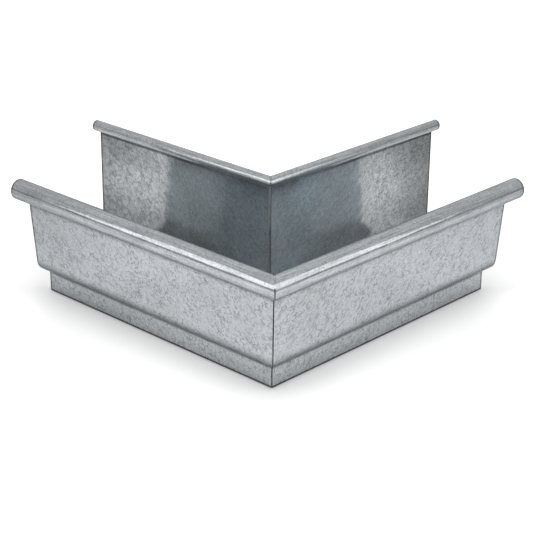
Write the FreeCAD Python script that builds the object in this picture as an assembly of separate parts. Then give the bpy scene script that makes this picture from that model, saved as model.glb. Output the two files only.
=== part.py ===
import FreeCAD, Part
import math
import os

os.makedirs("parts", exist_ok=True)

# External angle for an ogee rain gutter: two lengths of roll-formed sheet, mitred and soldered.
# The right arm runs along +X and the left arm along +Y. The fascia corner stands on the Z axis.
# In the section, u runs outward from the fascia plane and z runs up from the sole.

# Overall sizes of the gutter section
GUTTER_WIDTH = 125.0
BACK_HEIGHT = 178.0
FRONT_HEIGHT = 138.0
SOLE_WIDTH = 79.0

# Length of each arm, from the fascia corner to its open end
LEFT_LENGTH = 253.0
RIGHT_LENGTH = 253.0

# Sheet metal and its folds
SHEET = 0.8
FOLD_RADIUS = 1.5

# Front: flat skirt, hollow cove, round bulge and a face that leans outward
SKIRT_HEIGHT = 19.7
COVE_RADIUS = 8.0
BULGE_RADIUS = 15.5
FACE_LEAN = 5.3

# Rolled edges: the front one rolls outward, the back one rolls over the channel
FRONT_BEAD_DIAMETER = 22.0
BACK_BEAD_DIAMETER = 11.5
RAW_EDGE_GAP = 0.6

# Mitre: the open seam, the solder on its channel side and the solder that fills the rolled edges,
# which is filed flush on top, stops at an angle on the front of each and runs down behind the rest
SEAM_GAP = 0.8
SOLDER_WIDTH = 2.5
SOLDER_THICKNESS = 0.6
FILL_SINK = 0.1
FILL_RUN = 6.0
FRONT_FILL_ANGLE = 28.0
BACK_FILL_ANGLE = 20.0

# Overlap of the cutting outlines past the sheet that they cut
CUT_MARGIN = 5.0

# Ends of two bends closer than this meet, with no flat between them
MEET = 0.0001


def polar(centre, radius, angle):
    """Point of the section at a radius and an angle from a centre, both as (u, z)."""
    turn = math.radians(angle)
    return (centre[0] + radius * math.cos(turn), centre[1] + radius * math.sin(turn))


def place(point):
    """Section point set in the right arm, whose channel lies on the -Y side of the fascia plane."""
    return FreeCAD.Vector(-GUTTER_WIDTH - CUT_MARGIN, -point[0], point[1])


def roll_angle(radius):
    """Angle past its foremost line at which a rolled edge stops, a raw edge gap short of its wall."""
    return math.degrees(math.acos((RAW_EDGE_GAP + SHEET) / radius - 1.0))


def stop(point, normal):
    """End of a strip on a flat: a bend of no radius, with the direction of the outer face."""
    return (point, 0.0, normal, normal)


def side(bends, depth):
    """Edges along one side of a strip, at a depth from its outer face towards the channel."""
    edges = []
    last = None
    for centre, radius, start, end in bends:
        reach = radius - depth if end >= start else radius + depth
        first = place(polar(centre, reach, start))
        if last and not last.isEqual(first, MEET):
            edges.append(Part.makeLine(last, first))
        last = place(polar(centre, reach, end))
        if start != end:
            middle = place(polar(centre, reach, (start + end) / 2.0))
            edges.append(Part.Arc(first, middle, last).toShape())
    return edges


def strip(bends, near, far, length):
    """Strip of sheet or solder between two depths, drawn out along the right arm to its open end."""
    outer = side(bends, near)
    inner = side(bends, far)
    start_edge = Part.makeLine(outer[0].firstVertex(True).Point, inner[0].firstVertex(True).Point)
    end_edge = Part.makeLine(outer[-1].lastVertex(True).Point, inner[-1].lastVertex(True).Point)
    loop = Part.Wire(Part.__sortEdges__(outer + inner + [start_edge, end_edge]))
    draw = FreeCAD.Vector(GUTTER_WIDTH + CUT_MARGIN + length, 0.0, 0.0)
    return Part.Face(loop).extrude(draw)


def mitre_outline(near, far):
    """Plan of the right arm between two distances along X from the mitre line, over the full height."""
    back = CUT_MARGIN
    front = -GUTTER_WIDTH - CUT_MARGIN
    base = -CUT_MARGIN
    corners = [(back + near, back), (back + far, back), (front + far, front), (front + near, front)]
    points = [FreeCAD.Vector(x, y, base) for x, y in corners]
    outline = Part.Face(Part.makePolygon(points + points[:1]))
    return outline.extrude(FreeCAD.Vector(0.0, 0.0, BACK_HEIGHT + 2.0 * CUT_MARGIN))


def other_hand(shape):
    """The same piece on the left arm: its mirror image across the mitre plane."""
    return shape.mirror(FreeCAD.Vector(0.0, 0.0, 0.0), FreeCAD.Vector(1.0, -1.0, 0.0))


# Centres of the rolled edges and of the folds
front_bead_radius = FRONT_BEAD_DIAMETER / 2.0
back_bead_radius = BACK_BEAD_DIAMETER / 2.0
front_bead = (GUTTER_WIDTH - front_bead_radius, FRONT_HEIGHT - front_bead_radius)
back_bead = (back_bead_radius, BACK_HEIGHT - back_bead_radius)
fold_outside = FOLD_RADIUS + SHEET
back_fold = (fold_outside, fold_outside)
front_fold = (SOLE_WIDTH - fold_outside, fold_outside)

# The face runs up into the channel side of the front bead, so its outer side touches the bore
face_top = polar(front_bead, front_bead_radius - SHEET, 180.0 - FACE_LEAN)

# The bulge touches the face and the cove: its centre is one radius behind the face, and both
# radii from the centre of the cove
cove = (SOLE_WIDTH + COVE_RADIUS, SKIRT_HEIGHT)
behind_face = polar(face_top, BULGE_RADIUS, 180.0 - FACE_LEAN)
up_face = 90.0 - FACE_LEAN
lift = FreeCAD.Vector(behind_face[0] - cove[0], behind_face[1] - cove[1], 0.0)
along = FreeCAD.Vector(math.cos(math.radians(up_face)), math.sin(math.radians(up_face)), 0.0)
rise = lift.dot(along)
aside = (lift - along * rise).Length
drop = rise - math.sqrt((BULGE_RADIUS + COVE_RADIUS) ** 2 - aside ** 2)
bulge = polar(behind_face, -drop, up_face)
ogee_angle = math.degrees(math.atan2(bulge[1] - cove[1], bulge[0] - cove[0]))

# Bends of the strip from the back bead to the front bead: centre, outer radius, first and last angle
back_roll = (back_bead, back_bead_radius, -roll_angle(back_bead_radius), 180.0)
channel = [
    (back_fold, fold_outside, 180.0, 270.0),
    (front_fold, fold_outside, 270.0, 360.0),
    (cove, COVE_RADIUS, 180.0, ogee_angle),
    (bulge, BULGE_RADIUS, ogee_angle - 180.0, -FACE_LEAN),
]
front_end = -FACE_LEAN - roll_angle(front_bead_radius)
front_roll = (front_bead, front_bead_radius - SHEET, 180.0 - FACE_LEAN, front_end)
section = [back_roll] + channel + [front_roll]

# Right and left arm: the strip drawn to length and cut along the mitre, half a seam gap clear of it
half_seam = SEAM_GAP / math.sqrt(2.0)
right_arm = strip(section, 0.0, SHEET, RIGHT_LENGTH)
right_arm = right_arm.common(mitre_outline(half_seam, RIGHT_LENGTH + GUTTER_WIDTH + CUT_MARGIN))
left_arm = strip(section, 0.0, SHEET, LEFT_LENGTH)
left_arm = left_arm.common(mitre_outline(half_seam, LEFT_LENGTH + GUTTER_WIDTH + CUT_MARGIN))
left_arm = other_hand(left_arm)

# Solder: a thin run over both sides of the seam, from under the back bead up to the front bead
solder_top = (0.0, BACK_HEIGHT - BACK_BEAD_DIAMETER - RAW_EDGE_GAP)
solder_path = [stop(solder_top, 180.0)] + channel + [stop(face_top, -FACE_LEAN)]
solder_half = strip(solder_path, SHEET, SHEET + SOLDER_THICKNESS, SOLDER_WIDTH)
solder_half = solder_half.common(mitre_outline(0.0, SOLDER_WIDTH / math.sqrt(2.0)))

# Solder in the seam of each rolled edge, which runs on behind the solder of the channel and joins it
back_fill_foot = (solder_top[0], solder_top[1] - FILL_RUN)
front_fill_foot = polar(face_top, -FILL_RUN, up_face)
back_fill_roll = (back_bead, back_bead_radius, BACK_FILL_ANGLE, 180.0)
front_fill_roll = (front_bead, front_bead_radius - SHEET, 180.0 - FACE_LEAN, FRONT_FILL_ANGLE)
for fill_path in (
    [back_fill_roll, stop(back_fill_foot, 180.0)],
    [stop(front_fill_foot, -FACE_LEAN), front_fill_roll],
):
    fill_half = strip(fill_path, FILL_SINK, SHEET, SOLDER_WIDTH)
    solder_half = solder_half.fuse(fill_half.common(mitre_outline(0.0, half_seam)))
mitre_solder = solder_half.fuse(other_hand(solder_half)).removeSplitter()

# One solid for each piece
pieces = {"left_arm": left_arm, "right_arm": right_arm, "mitre_solder": mitre_solder}
for name, shape in pieces.items():
    shape.Solids[0].exportStep("parts/" + name + ".step")
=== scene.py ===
import bpy
import math
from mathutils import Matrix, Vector


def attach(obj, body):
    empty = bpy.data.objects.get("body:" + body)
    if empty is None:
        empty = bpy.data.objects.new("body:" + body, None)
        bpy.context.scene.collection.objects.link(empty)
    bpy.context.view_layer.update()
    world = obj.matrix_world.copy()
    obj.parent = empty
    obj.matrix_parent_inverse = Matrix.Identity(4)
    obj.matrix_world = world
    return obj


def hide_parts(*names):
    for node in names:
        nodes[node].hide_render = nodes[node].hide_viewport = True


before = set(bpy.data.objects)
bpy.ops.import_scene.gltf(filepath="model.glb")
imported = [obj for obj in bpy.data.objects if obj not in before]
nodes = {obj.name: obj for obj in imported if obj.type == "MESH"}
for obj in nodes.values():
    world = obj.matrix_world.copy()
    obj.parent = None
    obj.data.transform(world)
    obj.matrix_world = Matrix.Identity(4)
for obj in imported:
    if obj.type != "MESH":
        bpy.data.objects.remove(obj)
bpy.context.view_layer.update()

# Left and right arm: roll-formed strips of hot-dip galvanised steel, each cut at 45 degrees.
# The zinc froze in pale crystals with dark flecks, veins and a fine grain. The rolls drew it out in
# streaks on the rolled edges. Cut edges are dark, the hollows carry painted shade, and oxide dulls
# the back walls.

tree = None


def open_finish(owner):
    """Empty node tree of a material or a world, which takes the nodes that are added next."""
    global tree
    owner.use_nodes = True
    tree = owner.node_tree
    tree.nodes.clear()


def add(kind, **settings):
    """New node of the open tree, with its settings and input values."""
    node = tree.nodes.new(kind)
    for key, value in settings.items():
        name = key.replace("_", " ")
        if name in node.inputs:
            node.inputs[name].default_value = value
        else:
            setattr(node, key, value)
    return node


def join(source, output, target, value):
    """Link from one node's output to another node's input."""
    tree.links.new(source.outputs[output], target.inputs[value])


def outlet(value):
    """Output to link from: a node's first one, or the output that is given."""
    return value.outputs[0] if isinstance(value, bpy.types.Node) else value


def count(operation, first, second):
    """Math node on two values, each a number, a node or a node's output."""
    node = add("ShaderNodeMath", operation=operation)
    for slot, value in enumerate((first, second)):
        if isinstance(value, (int, float)):
            node.inputs[slot].default_value = value
        else:
            tree.links.new(outlet(value), node.inputs[slot])
    return node


def product(first, *layers):
    """Math nodes that multiply a value by all the layers given."""
    for layer in layers:
        first = count("MULTIPLY", first, layer)
    return first


def remainder(value):
    """Math node with what a value leaves of one."""
    return count("SUBTRACT", 1.0, value)


def ramp(value, limits, first, last):
    """Smooth step of a value between two limits, from a first to a last level."""
    node = add("ShaderNodeMapRange", interpolation_type="SMOOTHSTEP", From_Min=limits[0],
               From_Max=limits[1], To_Min=first, To_Max=last)
    tree.links.new(outlet(value), node.inputs["Value"])
    return node


def of_plan(operation):
    """Math node on the X and Y of the place that is being coloured."""
    return count(operation, place.outputs["X"], place.outputs["Y"])


galvanised = bpy.data.materials.new("galvanised_spangle")
open_finish(galvanised)
coat = add("ShaderNodeOutputMaterial")
spot = add("ShaderNodeTexCoord")
place = add("ShaderNodeSeparateXYZ")
join(spot, "Object", place, "Vector")

# Place on the strip and in its section, the same for both arms
height = place.outputs["Z"]
along = of_plan("MAXIMUM")
inward = of_plan("MINIMUM")
right_hand = of_plan("GREATER_THAN")
left_hand = remainder(right_hand)
strip_spot = add("ShaderNodeCombineXYZ")
join(along, "Value", strip_spot, "X")
join(count("ADD", inward, right_hand), "Value", strip_spot, "Y")
join(place, "Z", strip_spot, "Z")
section_spot = add("ShaderNodeCombineXYZ")
join(inward, "Value", section_spot, "X")
join(place, "Z", section_spot, "Y")

# Back wall, and the stretch of it near the open end
wall_reach = (-0.006, -0.003)
wall_end_run = (0.125, 0.160)
wall = ramp(inward, wall_reach, 0.0, 1.0)
wall_end = product(wall, ramp(along, wall_end_run, 0.0, 1.0))


def drawn_strip(stretch, turn):
    """Place on the strip, turned from its length and drawn out."""
    node = add("ShaderNodeMapping", vector_type="TEXTURE", Rotation=(0.0, -turn, 0.0),
               Scale=(stretch, 1.0, 1.0))
    join(strip_spot, "Vector", node, "Vector")
    return node


def uneven_zinc(vector, push, size, detail):
    """Place pushed about by noise, which makes the outlines of crystals uneven."""
    drift = add("ShaderNodeTexNoise", Scale=1.0 / size, Detail=detail)
    join(vector, "Vector", drift, "Vector")
    node = add("ShaderNodeVectorMath", operation="MULTIPLY_ADD")
    node.inputs[1].default_value = (push, push, push)
    join(drift, "Color", node, 0)
    join(vector, "Vector", node, 2)
    return node


def zinc_crystals(vector, size, feature):
    """Crystals of a size in metres, by their colours or by the distance to their edges."""
    node = add("ShaderNodeTexVoronoi", feature=feature, Scale=1.0 / size)
    join(vector, "Vector", node, "Vector")
    return node


def crystal_chance(crystal):
    """Random number of each crystal."""
    node = add("ShaderNodeSeparateColor")
    join(crystal, "Color", node, "Color")
    return node.outputs["Red"]


def around(middle, depth):
    """Levels at the same depth below and above a middle one."""
    return middle - depth, middle + depth


# Small crystals on a slant
crystal_size = 0.0042
crystal_stretch = 1.45
crystal_slant = math.radians(38.0)
crystal_warp = 0.0022
crystal_warp_size = 0.0020
crystal_depth = 0.025
slant = drawn_strip(crystal_stretch, crystal_slant)
crystal_spot = uneven_zinc(slant, crystal_warp, crystal_warp_size, 2.0)
crystals = zinc_crystals(crystal_spot, crystal_size, "F1")
crystal_tone = ramp(crystal_chance(crystals), (0.0, 1.0), *around(1.0, crystal_depth))


def zinc_clouds(vector, size, detail):
    """Noise in the zinc, with features of a size in metres."""
    node = add("ShaderNodeTexNoise", Scale=1.0 / size, Detail=detail)
    join(vector, "Vector", node, "Vector")
    return node.outputs["Fac"]


# Broken dark veins between the crystals, more in some areas than in others
line_core = 0.3
vein_width = 0.14
vein_depth = 0.40
vein_length = 0.0028
vein_break = (0.44, 0.56)
vein_spread = 0.020
vein_thinning = (0.35, 0.60)
vein_least = 0.3
vein_edges = zinc_crystals(crystal_spot, crystal_size, "DISTANCE_TO_EDGE")
vein = ramp(vein_edges.outputs["Distance"], (line_core * vein_width, vein_width), 1.0, 0.0)
vein_dash = ramp(zinc_clouds(slant, vein_length, 1.0), vein_break, 0.0, vein_depth)
vein_patch = ramp(zinc_clouds(strip_spot, vein_spread, 2.0), vein_thinning, vein_least, 1.0)
vein_shown = product(vein, vein_dash, vein_patch)

# Large plates of zinc with a broken dark net between them, near the open end of the left wall
plate_size = 0.0110
plate_warp = 0.0050
plate_warp_size = 0.0045
plate_pale = 0.05
plate_depth = 0.09
net_width = 0.09
net_depth = 0.42
net_length = 0.0050
net_break = (0.42, 0.58)
net_least = 0.15
plate_area = product(wall_end, left_hand)
plate_spot = uneven_zinc(strip_spot, plate_warp, plate_warp_size, 3.0)
plates = zinc_crystals(plate_spot, plate_size, "F1")
plate_levels = around(plate_pale, plate_depth)
plate_tone = product(ramp(crystal_chance(plates), (0.0, 1.0), *plate_levels), plate_area)
net_edges = zinc_crystals(plate_spot, plate_size, "DISTANCE_TO_EDGE")
net = ramp(net_edges.outputs["Distance"], (line_core * net_width, net_width), net_depth, 0.0)
net_dash = ramp(zinc_clouds(slant, net_length, 1.0), net_break, net_least, 1.0)
net_shown = product(net, plate_area, net_dash)

# Dark flecks on the same slant as the crystals
fleck_size = 0.0033
fleck_stretch = 2.4
fleck_depth = 0.24
fleck_edge = (0.57, 0.64)
fleck_spot = drawn_strip(fleck_stretch, crystal_slant)
flecks = ramp(zinc_clouds(fleck_spot, fleck_size, 1.5), fleck_edge, 0.0, fleck_depth)


def away_from(point):
    """Distance from a line that runs along both arms, given by its point in the section."""
    node = add("ShaderNodeVectorMath", operation="DISTANCE")
    node.inputs[1].default_value = point
    join(section_spot, "Vector", node, 0)
    return node.outputs["Value"]


# Rolled edges, where the veins, net and flecks are fainter, as they are on the wall by the corner
rolled_edges = (
    ((-0.1140, 0.1270, 0.0), 0.0112),
    ((-0.00575, 0.17225, 0.0), 0.0060),
)
roll_margin = 0.001
rolled_calm = 0.55
wall_calm = 0.40
rolled = None
for centre, radius in rolled_edges:
    near_roll = ramp(away_from(centre), (radius, radius + roll_margin), 1.0, 0.0)
    rolled = count("MAXIMUM", rolled, near_roll) if rolled else near_roll
calm = remainder(product(count("SUBTRACT", wall, wall_end), 1.0 - wall_calm))
calm = count("MINIMUM", calm, ramp(rolled, (0.0, 1.0), 1.0, rolled_calm))
marks = count("MAXIMUM", count("MAXIMUM", vein_shown, net_shown), flecks)
spangle = remainder(product(marks, calm))

# Streaks drawn along the rolled edges
noise_band = (0.3, 0.7)
streak_size = 0.0014
streak_stretch = 30.0
streak_depth = 0.15
streak_height = 0.00006
streak = zinc_clouds(drawn_strip(streak_stretch, 0.0), streak_size, 2.0)
streak_tone = product(rolled, ramp(streak, noise_band, *around(0.0, streak_depth)))
streak_tone = count("ADD", 1.0, streak_tone)

# Fine grain, and broad pale and dark areas
grain_size = 0.0008
grain_band = (0.25, 0.75)
grain_depth = 0.20
bloom_size = 0.035
bloom_depth = 0.04
grain_tone = ramp(zinc_clouds(slant, grain_size, 1.0), grain_band, *around(1.0, grain_depth))
bloom = zinc_clouds(strip_spot, bloom_size, 2.0)
bloom_tone = ramp(bloom, noise_band, *around(1.0, bloom_depth))

# Brush marks on the back wall, which give way to mottle and to plates or specks near the open end
brush_size = 0.0011
brush_stretch = 3.5
brush_depth = 0.17
brush_calm = 0.75
# Painted light: the back wall is made paler along its length and near the open end
wall_pale = 0.06
wall_end_pale = 0.06
mottle_size = 0.0065
mottle_band = (0.35, 0.65)
mottle_depth = 0.08
speck_size = 0.0016
speck_pale = -0.02
speck_depth = 0.20
brush_marks = zinc_clouds(drawn_strip(brush_stretch, crystal_slant), brush_size, 2.0)
brushed = ramp(brush_marks, noise_band, *around(wall_pale, brush_depth))
brush_share = count("SUBTRACT", wall, product(wall_end, brush_calm))
mottle = ramp(zinc_clouds(slant, mottle_size, 3.0), mottle_band, *around(0.0, mottle_depth))
mottle = product(count("ADD", mottle, wall_end_pale), wall_end)
speck = ramp(zinc_clouds(slant, speck_size, 2.0), noise_band, *around(speck_pale, speck_depth))
speck_tone = product(speck, wall_end, right_hand)
mottle = count("ADD", mottle, count("ADD", plate_tone, speck_tone))
mottle_tone = count("ADD", count("ADD", 1.0, product(brush_share, brushed)), mottle)

# Left face, with painted shade towards its open end
front_reach = (-0.060, -0.040)
face_shade_run = (0.02, 0.27)
face_end_shade = 0.13
front = ramp(inward, front_reach, 1.0, 0.0)
front_shade = remainder(product(front, ramp(along, face_shade_run, 0.0, face_end_shade), left_hand))


def by_arm(left, right):
    """Level of the left arm and of the right arm."""
    return ramp(right_hand, (0.0, 1.0), left, right)


# Back walls: painted shade, darker at the open end and at the foot, and painted light, paler at the
# top of the right one's corner
open_end = 0.253
fade_from = 0.155
left_fade = 0.18
right_fade = 0.43
foot_rise = (0.078, 0.118)
left_foot = 0.60
right_foot = 0.70
corner_rise = (0.110, 0.160)
corner_run = (0.0, 0.08)
corner_pale = 0.22
corner_least = 0.3
fade = product(by_arm(left_fade, right_fade), ramp(along, (fade_from, open_end), 0.0, 1.0))
fade = remainder(product(fade, wall))
foot = product(ramp(height, foot_rise, 1.0, 0.0), by_arm(1.0 - left_foot, 1.0 - right_foot))
foot = remainder(product(foot, wall_end))
corner_top = ramp(height, corner_rise, corner_least * corner_pale, corner_pale)
corner_top = product(corner_top, ramp(along, corner_run, 1.0, 0.0), wall, right_hand)
wall_tone = product(fade, foot, count("ADD", 1.0, corner_top))

# Dark cut edges at the open ends and the mitre, painted contact shadow on the fold at the front
# foot, and a skirt darker towards the bottom
edge_width = 0.0030
edge_tone = 0.40
mitre_edge = (0.0007, 0.0011)
mitre_tone = 0.35
fold_height = 0.0036
fold_core = 0.65
fold_reach = (-0.0775, -0.0755)
foot_shadow_tone = 0.15
darkening_height = 0.017
darkening_tone = 0.87
end_cut = ramp(along, (open_end - edge_width, open_end - 0.5 * edge_width), 1.0, edge_tone)
mitre_cut = ramp(count("SUBTRACT", along, inward), mitre_edge, mitre_tone, 1.0)
# Painted contact shadow along the fold at the front foot
fold = ramp(height, (fold_core * fold_height, fold_height), 1.0 - foot_shadow_tone, 0.0)
fold = remainder(product(fold, ramp(inward, fold_reach, 1.0, 0.0)))
skirt_darkening = ramp(height, (0.0, darkening_height), darkening_tone, 1.0)
tone = product(end_cut, fold, spangle, streak_tone, crystal_tone, grain_tone, bloom_tone,
               mottle_tone, skirt_darkening, mitre_cut, front_shade, wall_tone)

# Painted shade in the hollows: a line in the section, where it is darkest, where it ends, and its
# tone
hollows = (
    ((-0.0810, 0.0250, 0.0), 0.0010, 0.0058, 0.48),
    ((-0.0910, 0.0300, 0.0), 0.0015, 0.0160, 0.42),
    ((-0.1050, 0.1180, 0.0), 0.0095, 0.0165, 0.50),
    ((-0.1205, 0.1155, 0.0), 0.0015, 0.0125, 0.52),
)
for centre, inner, outer, darkest in hollows:
    tone = product(tone, ramp(away_from(centre), (inner, outer), darkest, 1.0))

# Painted shade: dark lines under the back bead on the channel side, fainter near the corner
bead_shade = 0.60
bead_shade_least = 0.2
bead_shade_run = (0.05, 0.13)
bead_shade_side = (-0.0006, -0.0003)
bead_shade_lines = (
    ((-0.0088, 0.1660, 0.0), 0.0012, 0.0040),
    ((-0.0008, 0.1640, 0.0), 0.0025, 0.0036),
)
shade = ramp(along, bead_shade_run, bead_shade_least * bead_shade, bead_shade)
shade = product(shade, ramp(inward, bead_shade_side, 1.0, 0.0))
for centre, inner, outer in bead_shade_lines:
    near_bead = product(shade, ramp(away_from(centre), (inner, outer), 1.0, 0.0))
    tone = product(tone, remainder(near_bead))


def reach_along(source, output, way):
    """How far a place or a normal reaches along a way."""
    node = add("ShaderNodeVectorMath", operation="DOT_PRODUCT")
    node.inputs[1].default_value = way
    join(source, output, node, 0)
    return node.outputs["Value"]


def metal_tint(share, first, second):
    """Mix of two colours by a share, each a plain colour or another mix."""
    node = add("ShaderNodeMix", data_type="RGBA")
    tree.links.new(outlet(share), node.inputs[0])
    for slot, colour in ((6, first), (7, second)):
        if isinstance(colour, tuple):
            node.inputs[slot].default_value = colour
        else:
            tree.links.new(colour.outputs[2], node.inputs[slot])
    return node


def metal_colour(mean, level):
    """Mean colour of a metal, made lighter or darker by a level."""
    node = add("ShaderNodeVectorMath", operation="SCALE")
    node.inputs[0].default_value = mean
    join(level, "Value", node, "Scale")
    return node


# Colour of the zinc, cool and with painted shade on the channel side of the front, and cool on the
# wall's corner
zinc_mean = (0.512, 0.536, 0.554)
no_tint = (1.0, 1.0, 1.0, 1.0)
left_channel_shade = (0.62, 0.69, 0.71, 1.0)
right_channel_shade = (0.69, 0.78, 0.80, 1.0)
wall_corner_tint = (0.95, 1.04, 1.09, 1.0)
cool_run = (0.03, 0.10)
channel_front = (-0.030, -0.015)
back_way = (1.0, 1.0, 0.0)
back_turn = (0.1, 0.5)
sheet_face = add("ShaderNodeNewGeometry")
inner_side = ramp(reach_along(sheet_face, "Normal", back_way), back_turn, 0.0, 1.0)
inside = product(inner_side, ramp(inward, channel_front, 1.0, 0.0))
channel_shade = metal_tint(right_hand, left_channel_shade, right_channel_shade)
by_corner = product(wall, ramp(along, cool_run, 1.0, 0.0))
corner_tint = metal_tint(by_corner, no_tint, wall_corner_tint)
zinc = add("ShaderNodeVectorMath", operation="MULTIPLY")
join(metal_colour(zinc_mean, tone), "Vector", zinc, 0)
join(metal_tint(inside, corner_tint, channel_shade), 2, zinc, 1)

# Relief: each crystal leans its own way, and the streaks are fine ridges
crystal_tilt = 0.02
chance_middle = (0.5, 0.5, 0.5)
lean = add("ShaderNodeVectorMath", operation="SUBTRACT")
lean.inputs[1].default_value = chance_middle
join(crystals, "Color", lean, 0)
tilt = add("ShaderNodeVectorMath", operation="MULTIPLY_ADD")
tilt.inputs[1].default_value = (crystal_tilt, crystal_tilt, crystal_tilt)
join(lean, "Vector", tilt, 0)
join(sheet_face, "Normal", tilt, 2)
facing = add("ShaderNodeVectorMath", operation="NORMALIZE")
join(tilt, "Vector", facing, 0)
drawn = add("ShaderNodeBump", Distance=streak_height)
join(rolled, 0, drawn, "Strength")
tree.links.new(streak, drawn.inputs["Height"])
join(facing, "Vector", drawn, "Normal")

# Gloss: satin zinc blended with dull zinc, which oxide covers on the back wall, most by the corner
grazing_tint = (0.70, 0.72, 0.74, 1.0)
satin_roughness = (0.095, 0.125)
dull_roughness = (0.52, 0.58)
dull_share = 0.38
left_oxide = 0.23
right_oxide = 0.42
oxide_run = (0.0, 0.10)
oxide_run_share = (2.2, 0.6)
oxide_rise = (0.08, 0.15)
oxide_rise_share = (1.4, 1.0)
oxide = product(by_arm(left_oxide, right_oxide), ramp(along, oxide_run, *oxide_run_share),
                ramp(height, oxide_rise, *oxide_rise_share))
bare = remainder(product(oxide, wall))
lobes = []
for roughness in (satin_roughness, dull_roughness):
    lobe = add("ShaderNodeBsdfPrincipled", Metallic=1.0)
    lobe.inputs["Specular Tint"].default_value = grazing_tint
    join(zinc, "Vector", lobe, "Base Color")
    join(ramp(bloom, noise_band, *roughness), "Result", lobe, "Roughness")
    join(drawn, "Normal", lobe, "Normal")
    lobes.append(lobe)
join(bare, "Value", lobes[1], "Metallic")
blend = add("ShaderNodeMixShader", Fac=dull_share)
join(lobes[0], "BSDF", blend, 1)
join(lobes[1], "BSDF", blend, 2)
join(blend, "Shader", coat, "Surface")
for name in ("left_arm", "right_arm"):
    nodes[name].data.materials.clear()
    nodes[name].data.materials.append(galvanised)

# Mitre solder: soft solder, run along the channel side of the seam with an iron and drawn through
# the rolled edges, where it is filed flush and bright, the brightness partly a painted highlight.
# It froze dull grey in low ripples, with flux stain at one side, and has painted shade where it
# shows in the open seam.

solder_voxel = 0.00022
merge_distance = 0.00001
soften_share = 0.5
soften_rounds = 3
ripple_size = 0.0035
ripple_height = 0.00016
ripple_middle = 0.6

bpy.ops.object.select_all(action="DESELECT")
solder_run = bpy.data.objects.new("solder_run", nodes["mitre_solder"].data.copy())
bpy.context.scene.collection.objects.link(solder_run)
bpy.context.view_layer.objects.active = solder_run
solder_run.select_set(True)
bpy.ops.object.mode_set(mode="EDIT")
bpy.ops.mesh.select_all(action="SELECT")
bpy.ops.mesh.remove_doubles(threshold=merge_distance)
bpy.ops.mesh.normals_make_consistent(inside=False)
bpy.ops.object.mode_set(mode="OBJECT")
melt = solder_run.modifiers.new("melt", "REMESH")
melt.mode = "VOXEL"
melt.voxel_size = solder_voxel
bpy.ops.object.modifier_apply(modifier="melt")
soften = solder_run.modifiers.new("soften", "SMOOTH")
soften.factor = soften_share
soften.iterations = soften_rounds
bpy.ops.object.modifier_apply(modifier="soften")
ripples = bpy.data.textures.new("solder_ripples", "CLOUDS")
ripples.noise_scale = ripple_size
ripple = solder_run.modifiers.new("ripple", "DISPLACE")
ripple.texture = ripples
ripple.texture_coords = "LOCAL"
ripple.strength = ripple_height
ripple.mid_level = ripple_middle
bpy.ops.object.modifier_apply(modifier="ripple")
bpy.ops.object.shade_smooth()

solder_grey = (0.520, 0.545, 0.565)
solder_roughness = (0.40, 0.55)
frost_tone = (0.86, 1.08)
stain_tone = 0.20
stain_side = (0.0006, 0.0012)
back_bead_rise = (0.165, 0.166)
front_bead_reach = (-0.104, -0.103)
filed_brightening_and_highlight = 0.6
filed_smooth = 0.6
seam_shade_tone = 0.12
seam_way = (-1.0, -1.0, 0.0)
seam_turn = (0.1, 0.4)
seam_reach = (-0.074, -0.070)
seam_rise = (0.118, 0.122)

solder = bpy.data.materials.new("soft_solder")
open_finish(solder)
coat = add("ShaderNodeOutputMaterial")
spot = add("ShaderNodeTexCoord")
place = add("ShaderNodeSeparateXYZ")
join(spot, "Object", place, "Vector")
height = place.outputs["Z"]
inward = of_plan("MINIMUM")
under_back = ramp(height, back_bead_rise, 1.0, 0.0)
under_front = ramp(inward, front_bead_reach, 0.0, 1.0)
filed = remainder(under_front)
stain = ramp(of_plan("SUBTRACT"), stain_side, 0.0, 1.0 - stain_tone)
flux = product(stain, under_back, under_front)
clouds = add("ShaderNodeTexNoise", Scale=1.0 / ripple_size, Detail=3.0)
join(spot, "Object", clouds, "Vector")
frost = ramp(clouds, noise_band, *frost_tone)
solder_face = add("ShaderNodeNewGeometry")
# Painted shade on the solder where it shows in the open seam
seam_shade = ramp(reach_along(solder_face, "Normal", seam_way), seam_turn, 0.0, 1.0 - seam_shade_tone)
seam_shade = product(seam_shade, ramp(inward, seam_reach, 1.0, 0.0), ramp(height, seam_rise, 1.0, 0.0))
# Filed top made brighter, partly as a painted highlight
filed_top_and_highlight = count("ADD", 1.0, product(filed, filed_brightening_and_highlight))
solder_tone = product(frost, remainder(flux), remainder(seam_shade), filed_top_and_highlight)
smooth_top = remainder(product(filed, filed_smooth))
skin = product(ramp(clouds, noise_band, *solder_roughness), smooth_top)
metal = add("ShaderNodeBsdfPrincipled", Metallic=1.0)
join(metal_colour(solder_grey, solder_tone), "Vector", metal, "Base Color")
join(skin, "Value", metal, "Roughness")
join(metal, "BSDF", coat, "Surface")
solder_run.data.materials.clear()
solder_run.data.materials.append(solder)
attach(solder_run, "root")
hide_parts("mitre_solder")

# Studio paper: a wide white paper sweep under the part, grey beside the open ends and out of view.
# The paper shows white, in the picture and in the metal, and keeps the soft shadow of the part.

depth_way = Vector((0.710, 0.704, 0.0))
aside_way = Vector((0.704, -0.710, 0.0))
sweep_near = -1.0
sweep_far = 3.2
sweep_half = 0.90

bpy.ops.object.select_all(action="DESELECT")
bpy.ops.mesh.primitive_plane_add(size=2.0)
sweep = bpy.context.object
sweep.name = "paper_sweep"
for corner in sweep.data.vertices:
    depth = sweep_far if corner.co.y > 0.0 else sweep_near
    corner.co = depth_way * depth + aside_way * math.copysign(sweep_half, corner.co.x)

paper_white = 0.8
lift_near = 0.22
lift_edge = 0.38
lift_edge_run = (0.21, 0.28)
lift_outside = 0.30
lift_outside_run = (0.28, 0.42)
lift_far = 0.75
lift_far_run = (0.05, 0.55)
grey_far = 0.50
grey_run = (0.43, 0.62)
view_side = (0.305, 0.335)
view_depth = (0.23, 0.29)

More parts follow.
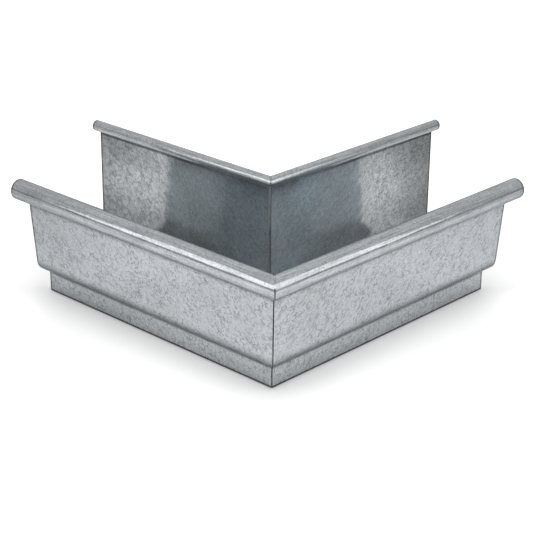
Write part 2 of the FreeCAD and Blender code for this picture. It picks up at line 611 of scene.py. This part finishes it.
paper = bpy.data.materials.new("white_paper")
open_finish(paper)
surface = add("ShaderNodeOutputMaterial")
plain = add("ShaderNodeBsdfDiffuse")
glow = add("ShaderNodeEmission", Color=(1.0, 1.0, 1.0, 1.0))
both = add("ShaderNodeAddShader")
spot = add("ShaderNodeTexCoord")
place = add("ShaderNodeSeparateXYZ")
join(spot, "Object", place, "Vector")
depth_at = reach_along(spot, "Object", depth_way)
from_middle = count("ABSOLUTE", reach_along(spot, "Object", aside_way), 0.0)
lift_behind = ramp(depth_at, lift_far_run, 0.0, lift_far)
lift_beside = ramp(from_middle, lift_edge_run, lift_near, lift_edge)
lift_fading = ramp(from_middle, lift_outside_run, 1.0, lift_outside / lift_edge)
lift = count("MAXIMUM", lift_behind, product(lift_beside, lift_fading))
out_of_view = ramp(from_middle, view_side, 0.0, 1.0)
out_of_view = product(out_of_view, ramp(depth_at, view_depth, 1.0, 0.0))
white = remainder(product(out_of_view, ramp(of_plan("MAXIMUM"), grey_run, 0.0, grey_far)))
join(product(white, paper_white), "Value", plain, "Color")
rays = add("ShaderNodeLightPath").outputs
mirrored = count("MAXIMUM", rays["Is Glossy Ray"], rays["Is Transmission Ray"])
shown = count("MAXIMUM", rays["Is Camera Ray"], mirrored)
join(product(lift, white, shown), "Value", glow, "Strength")
join(plain, "BSDF", both, 0)
join(glow, "Emission", both, 1)
join(both, "Shader", surface, "Surface")
sweep.data.materials.append(paper)

# Studio light: a dim room with a dark skirting above a white floor and paler walls behind the part.
# Four soft boxes stand in it: one for each arm, one overhead and one in front.

front_room_level = 0.25
far_room_level = 0.80
room_way = (0.66, 0.75, 0.0)
room_turn = (-0.4, 0.7)
skirting_share = 0.25
skirting_rise = (0.08, 0.16)
overhead_share = 0.3
overhead_rise = (0.72, 0.88)
room_floor_level = 1.0
room_floor_rise = (-0.09, -0.03)

world = bpy.data.worlds.new("pale_room")
bpy.context.scene.world = world
open_finish(world)
sky = add("ShaderNodeOutputWorld")
ways = add("ShaderNodeTexCoord")
rise = add("ShaderNodeSeparateXYZ")
join(ways, "Generated", rise, "Vector")
towards = reach_along(ways, "Generated", room_way)
room_wall = ramp(towards, room_turn, front_room_level, far_room_level)
skirting = ramp(rise.outputs["Z"], skirting_rise, skirting_share, 1.0)
ceiling = ramp(rise.outputs["Z"], overhead_rise, 1.0, overhead_share)
room_floor = ramp(rise.outputs["Z"], room_floor_rise, room_floor_level, 0.0)
room_level = count("MAXIMUM", product(room_wall, skirting, ceiling), room_floor)
room = add("ShaderNodeBackground", Color=(1.0, 1.0, 1.0, 1.0))
join(room_level, "Value", room, "Strength")
join(room, "Background", sky, "Surface")

soft_boxes = (
    ("left_box", (-0.990, 0.770, 0.600), (-0.12, -0.06, 0.13), 0.50, 0.68, 1.7),
    ("right_box", (0.790, -0.985, 0.650), (-0.06, -0.12, 0.13), 0.50, 0.90, 2.0),
    ("top_box", (-0.30, -0.30, 0.90), (0.0, 0.0, 0.08), 0.50, 0.50, 8.0),
    ("front_box", (-1.30, -1.30, 1.30), (0.0, 0.0, 0.08), 1.20, 0.80, 7.0),
)
for name, stand_at, aim_at, wide, tall, watts in soft_boxes:
    light = bpy.data.lights.new(name, "AREA")
    light.shape = "RECTANGLE"
    light.size = wide
    light.size_y = tall
    light.energy = watts
    lamp = bpy.data.objects.new(name, light)
    lamp.location = stand_at
    aim = Vector(aim_at) - lamp.location
    lamp.rotation_euler = aim.to_track_quat("-Z", "Y").to_euler()
    bpy.context.scene.collection.objects.link(lamp)

# Camera: a long lens, level from side to side, a little above the part and square on to the mitre.
# Its place comes from the edges of the part in the photograph.

photo_pixels = 533.0
focal_pixels = 1553.2
frame_shift_pixels = 31.5
sensor_width = 36.0
camera_turn = math.radians(-45.263)
camera_rise = math.radians(22.806)
camera_distance = 1.6787
camera_target = Vector((0.05865, 0.10671, 0.03084))

view_camera = bpy.data.cameras.new("view_camera")
view_camera.sensor_width = sensor_width
view_camera.lens = focal_pixels * sensor_width / photo_pixels
view_camera.shift_x = frame_shift_pixels / photo_pixels
camera = bpy.data.objects.new("view_camera", view_camera)
back = Vector((math.sin(camera_turn) * math.cos(camera_rise),
               -math.cos(camera_turn) * math.cos(camera_rise),
               math.sin(camera_rise)))
camera.location = camera_target + back * camera_distance
camera.rotation_euler = (math.pi / 2.0 - camera_rise, 0.0, camera_turn)
bpy.context.scene.collection.objects.link(camera)
bpy.context.scene.camera = camera
bpy.context.scene.view_settings.view_transform = "Standard"
